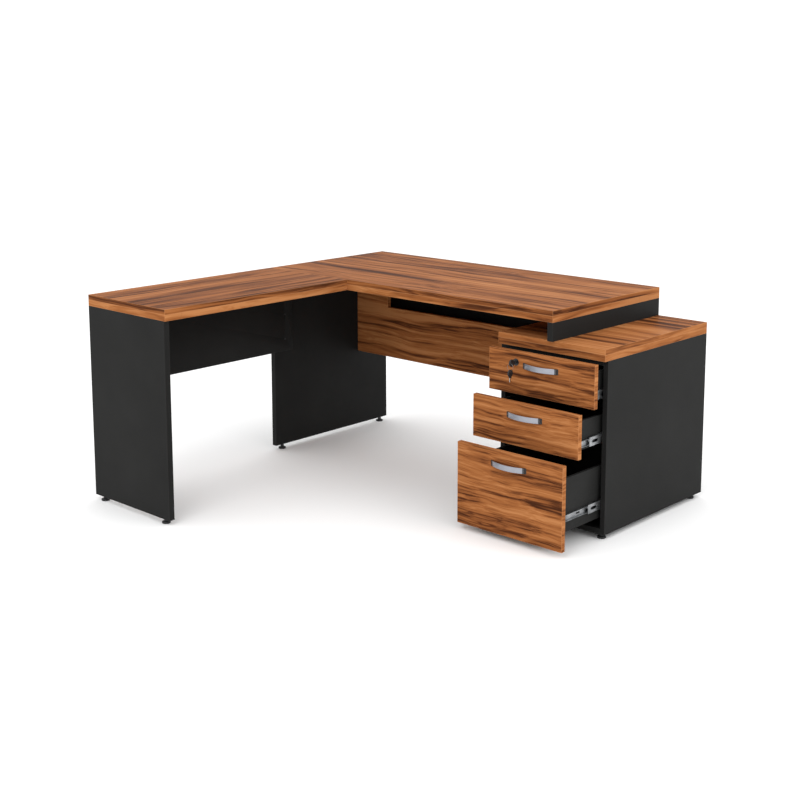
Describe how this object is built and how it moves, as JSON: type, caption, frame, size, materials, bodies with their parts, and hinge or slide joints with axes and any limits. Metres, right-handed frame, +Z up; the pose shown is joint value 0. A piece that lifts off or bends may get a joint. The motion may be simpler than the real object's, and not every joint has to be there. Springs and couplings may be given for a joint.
{
  "type": "corner desk",
  "caption": "L-shaped office desk with two thick wood-look tops on black panel legs, a three-drawer pedestal with bow handles and a lock, modesty screens and a cable tray.",
  "frame": {"origin": "on the floor under the middle of the desk's rectangular outline", "axes": "+X along the main top towards the pedestal, +Y to the desk's back edge, +Z up"},
  "size_m": [1.6, 1.5, 0.75],
  "materials": {
    "walnut_laminate": "satin wood-grain laminate",
    "black_laminate": "fine-textured black laminate",
    "grey_laminate": "dark grey laminate",
    "handle_metal": "satin",
    "zinc_steel": "bright zinc plate",
    "plated_steel": "nickel plate",
    "black_metal": "black powder coat",
    "black_plastic": "moulded, fine texture",
    "beech": "raw fluted dowel"
  },
  "bodies": {
    "frame": {"main_top_board": "walnut_laminate", "main_top_strips": "walnut_laminate", "return_top_board": "walnut_laminate", "return_top_strips": "walnut_laminate", "pedestal_top_board": "walnut_laminate", "pedestal_top_strips": "walnut_laminate", "return_end_leg": "black_laminate", "corner_leg": "black_laminate", "riser_panel": "black_laminate", "return_screen": "black_laminate", "main_screen": "walnut_laminate", "cable_tray": "black_metal", "pedestal_side_left": "black_laminate", "pedestal_side_right": "black_laminate", "pedestal_back": "black_laminate", "pedestal_base": "black_laminate", "pedestal_front_rail": "black_laminate", "slide_outer_members": "zinc_steel", "foot_sockets": "black_plastic", "cam_fittings": "plated_steel", "dowels": "beech", "panel_screws": "black_metal"},
    "drawer1": {"drawer1_front": "walnut_laminate", "drawer1_sides": "grey_laminate", "drawer1_back": "grey_laminate", "drawer1_bottom": "grey_laminate", "drawer1_handle": "handle_metal", "drawer1_fixings": "plated_steel", "drawer1_slide_members": "zinc_steel", "lock_housing": "black_metal"},
    "slide1_middle": {"slide1_middle_members": "zinc_steel"},
    "drawer2": {"drawer2_front": "walnut_laminate", "drawer2_sides": "grey_laminate", "drawer2_back": "grey_laminate", "drawer2_bottom": "grey_laminate", "drawer2_handle": "handle_metal", "drawer2_fixings": "plated_steel", "drawer2_slide_members": "zinc_steel"},
    "slide2_middle": {"slide2_middle_members": "zinc_steel"},
    "drawer3": {"drawer3_front": "walnut_laminate", "drawer3_sides": "grey_laminate", "drawer3_back": "grey_laminate", "drawer3_bottom": "grey_laminate", "drawer3_handle": "handle_metal", "drawer3_fixings": "plated_steel", "drawer3_slide_members": "zinc_steel"},
    "slide3_middle": {"slide3_middle_members": "zinc_steel"},
    "lock_core": {"lock_core": "black_metal", "lock_cam": "plated_steel", "key": "black_plastic"},
    "keys": {"key_ring": "plated_steel", "spare_key": "black_plastic"},
    "foot1": {"foot_1": "black_plastic"},
    "foot2": {"foot_2": "black_plastic"},
    "foot3": {"foot_3": "black_plastic"},
    "foot4": {"foot_4": "black_plastic"},
    "foot5": {"foot_5": "black_plastic"},
    "foot6": {"foot_6": "black_plastic"},
    "foot7": {"foot_7": "black_plastic"},
    "foot8": {"foot_8": "black_plastic"}
  },
  "joints": [
    {"name": "drawer1_slide", "type": "slide", "parent": "frame", "child": "drawer1", "axis": [0, -1, 0], "range_m": [-0.0516, 0.428]},
    {"name": "slide1_middle_run", "type": "slide", "parent": "frame", "child": "slide1_middle", "axis": [0, -1, 0], "range_m": [-0.0258, 0.214]},
    {"name": "drawer2_slide", "type": "slide", "parent": "frame", "child": "drawer2", "axis": [0, -1, 0], "range_m": [-0.1356, 0.344]},
    {"name": "slide2_middle_run", "type": "slide", "parent": "frame", "child": "slide2_middle", "axis": [0, -1, 0], "range_m": [-0.0678, 0.172]},
    {"name": "drawer3_slide", "type": "slide", "parent": "frame", "child": "drawer3", "axis": [0, -1, 0], "range_m": [-0.2156, 0.264]},
    {"name": "slide3_middle_run", "type": "slide", "parent": "frame", "child": "slide3_middle", "axis": [0, -1, 0], "range_m": [-0.1078, 0.132]},
    {"name": "lock_turn", "type": "hinge", "parent": "drawer1", "child": "lock_core", "pos_m": [0.478, 0.063, 0.566], "axis": [0, 1, 0], "range_deg": [0, 90]},
    {"name": "keys_swing", "type": "hinge", "parent": "lock_core", "child": "keys", "pos_m": [0.478, 0.03225, 0.565], "axis": [1, 0, 0], "range_deg": [-70, 8]},
    {"name": "foot1_screw", "type": "hinge", "parent": "frame", "child": "foot1", "pos_m": [-0.762, -0.735, 0.009], "axis": [0, 0, 1], "continuous": true},
    {"name": "foot2_screw", "type": "hinge", "parent": "frame", "child": "foot2", "pos_m": [-0.406, -0.735, 0.009], "axis": [0, 0, 1], "continuous": true},
    {"name": "foot3_screw", "type": "hinge", "parent": "frame", "child": "foot3", "pos_m": [-0.785, 0.138, 0.009], "axis": [0, 0, 1], "continuous": true},
    {"name": "foot4_screw", "type": "hinge", "parent": "frame", "child": "foot4", "pos_m": [-0.785, 0.712, 0.009], "axis": [0, 0, 1], "continuous": true},
    {"name": "foot5_screw", "type": "hinge", "parent": "frame", "child": "foot5", "pos_m": [0.384, 0.153, 0.009], "axis": [0, 0, 1], "continuous": true},
    {"name": "foot6_screw", "type": "hinge", "parent": "frame", "child": "foot6", "pos_m": [0.776, 0.153, 0.009], "axis": [0, 0, 1], "continuous": true},
    {"name": "foot7_screw", "type": "hinge", "parent": "frame", "child": "foot7", "pos_m": [0.384, 0.712, 0.009], "axis": [0, 0, 1], "continuous": true},
    {"name": "foot8_screw", "type": "hinge", "parent": "frame", "child": "foot8", "pos_m": [0.776, 0.712, 0.009], "axis": [0, 0, 1], "continuous": true}
  ],
  "couplings": [
    {"joint": "slide1_middle_run", "follows": "drawer1_slide", "ratio": 0.5},
    {"joint": "slide2_middle_run", "follows": "drawer2_slide", "ratio": 0.5},
    {"joint": "slide3_middle_run", "follows": "drawer3_slide", "ratio": 0.5}
  ]
}
